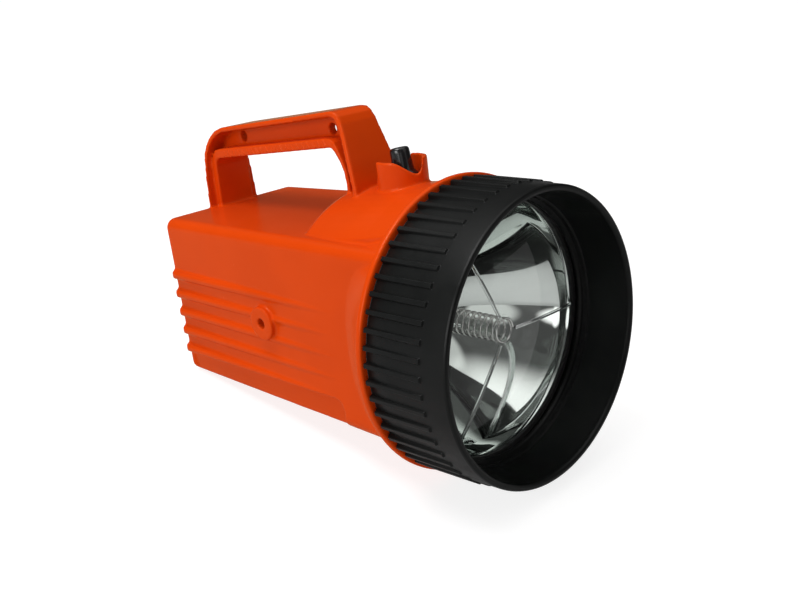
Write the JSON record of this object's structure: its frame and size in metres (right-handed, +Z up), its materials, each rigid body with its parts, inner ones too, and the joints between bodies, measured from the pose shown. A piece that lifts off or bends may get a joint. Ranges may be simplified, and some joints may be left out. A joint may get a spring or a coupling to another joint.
{
  "type": "firefighter hand lantern",
  "caption": "Battery hand lantern: drafted box housing with a carrying handle, screw-on bezel hood over a clear lens and chromed reflector, and a booted toggle switch behind the head.",
  "frame": {"origin": "centre of the box's flat underside, below the optical axis", "axes": "+Z up, the beam points along -Y, X across the housing; the optical axis is parallel to Y at 39 mm above the underside"},
  "size_m": [0.1252, 0.201, 0.1519],
  "materials": {
    "orange_plastic": "glossy moulded plastic",
    "black_plastic": "fine satin texture",
    "clear_plastic": "clear, polished",
    "chrome_coat": "vacuum metallised, mirror bright",
    "seal_rubber": "matt",
    "boot_rubber": "gloss black rubber",
    "spring_steel": "bright drawn wire",
    "bulb_glass": "clear",
    "brass_metal": "plain brass",
    "nickel_metal": "nickel plated",
    "tungsten": "dull grey wire",
    "board_plastic": "brown phenolic board",
    "zinc_can": "dull metal",
    "jacket_card": "plain coated sleeve",
    "battery_plastic": "satin",
    "foam": "closed-cell foam",
    "switch_plastic": "satin",
    "wire_red": "insulated lead"
  },
  "bodies": {
    "housing": {"housing": "orange_plastic", "flange_seal": "seal_rubber", "battery_jacket": "jacket_card", "battery_cells": "zinc_can", "battery_cover": "battery_plastic", "battery_base": "battery_plastic", "battery_springs": "spring_steel", "battery_pad": "foam", "switch_body": "switch_plastic", "switch_bushing": "nickel_metal", "switch_washer": "seal_rubber", "switch_nut": "nickel_metal", "switch_terminals": "brass_metal", "contact_block": "switch_plastic", "leaf_contacts": "brass_metal", "switch_wires": "wire_red"},
    "lens_stack": {"lens": "clear_plastic", "lens_gasket": "seal_rubber", "reflector": "chrome_coat", "ejector_spring": "spring_steel", "bulb_glass": "bulb_glass", "bulb_filament": "tungsten", "bulb_base": "nickel_metal", "bulb_tip_contact": "nickel_metal", "bulb_socket": "switch_plastic", "contact_board": "board_plastic", "ring_contact": "brass_metal", "centre_contact": "brass_metal", "board_screws": "nickel_metal"},
    "bezel": {"bezel_ring": "black_plastic"},
    "toggle": {"toggle_lever": "nickel_metal", "toggle_boot": "boot_rubber"},
    "rocker": {"contact_rocker": "brass_metal"}
  },
  "joints": [
    {"name": "bezel_turn", "type": "hinge", "parent": "lens_stack", "child": "bezel", "pos_m": [0, -0.115, 0.039], "axis": [0, -1, 0], "range_deg": [0, 720]},
    {"name": "lens_stack_slide", "type": "slide", "parent": "housing", "child": "lens_stack", "axis": [0, -1, 0], "range_m": [0, 0.0081]},
    {"name": "toggle_swing", "type": "hinge", "parent": "housing", "child": "toggle", "pos_m": [0, -0.0657, 0.0963], "axis": [1, 0, 0], "range_deg": [0, 20]},
    {"name": "rocker_swing", "type": "hinge", "parent": "housing", "child": "rocker", "pos_m": [0, -0.0657, 0.0836], "axis": [1, 0, 0], "range_deg": [-24.5, 0]}
  ],
  "couplings": [
    {"joint": "lens_stack_slide", "follows": "bezel_turn", "m_per_rad": 0.00063662},
    {"joint": "rocker_swing", "follows": "toggle_swing", "ratio": -1.2}
  ]
}
